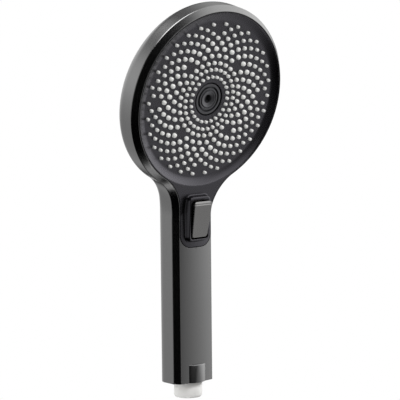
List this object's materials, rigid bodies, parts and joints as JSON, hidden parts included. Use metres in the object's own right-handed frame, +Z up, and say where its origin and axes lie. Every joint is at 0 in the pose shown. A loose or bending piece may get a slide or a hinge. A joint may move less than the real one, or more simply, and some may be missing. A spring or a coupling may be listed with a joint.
{
  "type": "handheld shower head",
  "caption": "Flat round shower head on a straight hollow handle, with a dished spray face, a thumb button that changes the spray and a male hose connector.",
  "frame": {"origin": "inlet thread's axis at the thread's upper end, 0.3 mm below the handle's foot", "axes": "+X to the user's right facing the spray side, -Y the way the handle's front faces, +Z up the handle"},
  "size_m": [0.139, 0.0567, 0.292],
  "materials": {
    "shell_paint": "satin gunmetal paint over moulded plastic",
    "cover_paint": "satin charcoal paint over moulded plastic",
    "button_paint": "satin gunmetal paint over moulded plastic",
    "nub_silicone": "pale grey soft silicone",
    "insert_plastic": "charcoal moulded plastic",
    "connector_white": "off-white moulded acetal",
    "inner_plastic": "natural moulded plastic",
    "seal_rubber": "black seal rubber",
    "screw_steel": "stainless steel"
  },
  "bodies": {
    "handset": {"body_shell": "shell_paint", "face_cover": "cover_paint", "nozzle_mat": "nub_silicone", "spray_plate": "inner_plastic", "chamber_gasket": "seal_rubber", "flow_divider": "inner_plastic", "cartridge_screws": "screw_steel", "centre_insert": "insert_plastic", "swirl_disc": "inner_plastic", "feed_duct": "inner_plastic", "duct_seals": "seal_rubber", "port_seals": "seal_rubber", "diverter_housing": "inner_plastic", "housing_screws": "screw_steel", "rotor_spindle": "screw_steel", "plunger_seal": "seal_rubber", "button_spring": "screw_steel", "button_pin": "screw_steel", "pin_keepers": "inner_plastic", "keeper_screws": "screw_steel", "water_tube": "inner_plastic", "tube_orings": "seal_rubber", "inlet_nipple": "connector_white", "flow_restrictor": "inner_plastic", "filter_screen": "screw_steel"},
    "button": {"mode_button": "button_paint"},
    "rod": {"plunger": "inner_plastic", "plunger_cap": "inner_plastic"},
    "rotor": {"diverter_rotor": "inner_plastic"}
  },
  "joints": [
    {"name": "button_hinge", "type": "hinge", "parent": "handset", "child": "button", "pos_m": [0, -0.0115, 0.1105], "axis": [-1, 0, 0], "range_deg": [0, 6.5], "stiffness_Nm_per_rad": 0.1, "springref_deg": -1.15},
    {"name": "rod_slide", "type": "slide", "parent": "handset", "child": "rod", "axis": [0, 0.9736, 0.2284], "range_m": [0, 0.00205], "deforming": ["button_spring"]},
    {"name": "rotor_spin", "type": "hinge", "parent": "handset", "child": "rotor", "pos_m": [0, -0.01058, 0.12908], "axis": [0, 0.9736, 0.2284], "continuous": true}
  ],
  "couplings": [
    {"joint": "rod_slide", "follows": "button_hinge", "m_per_rad": 0.01788}
  ]
}
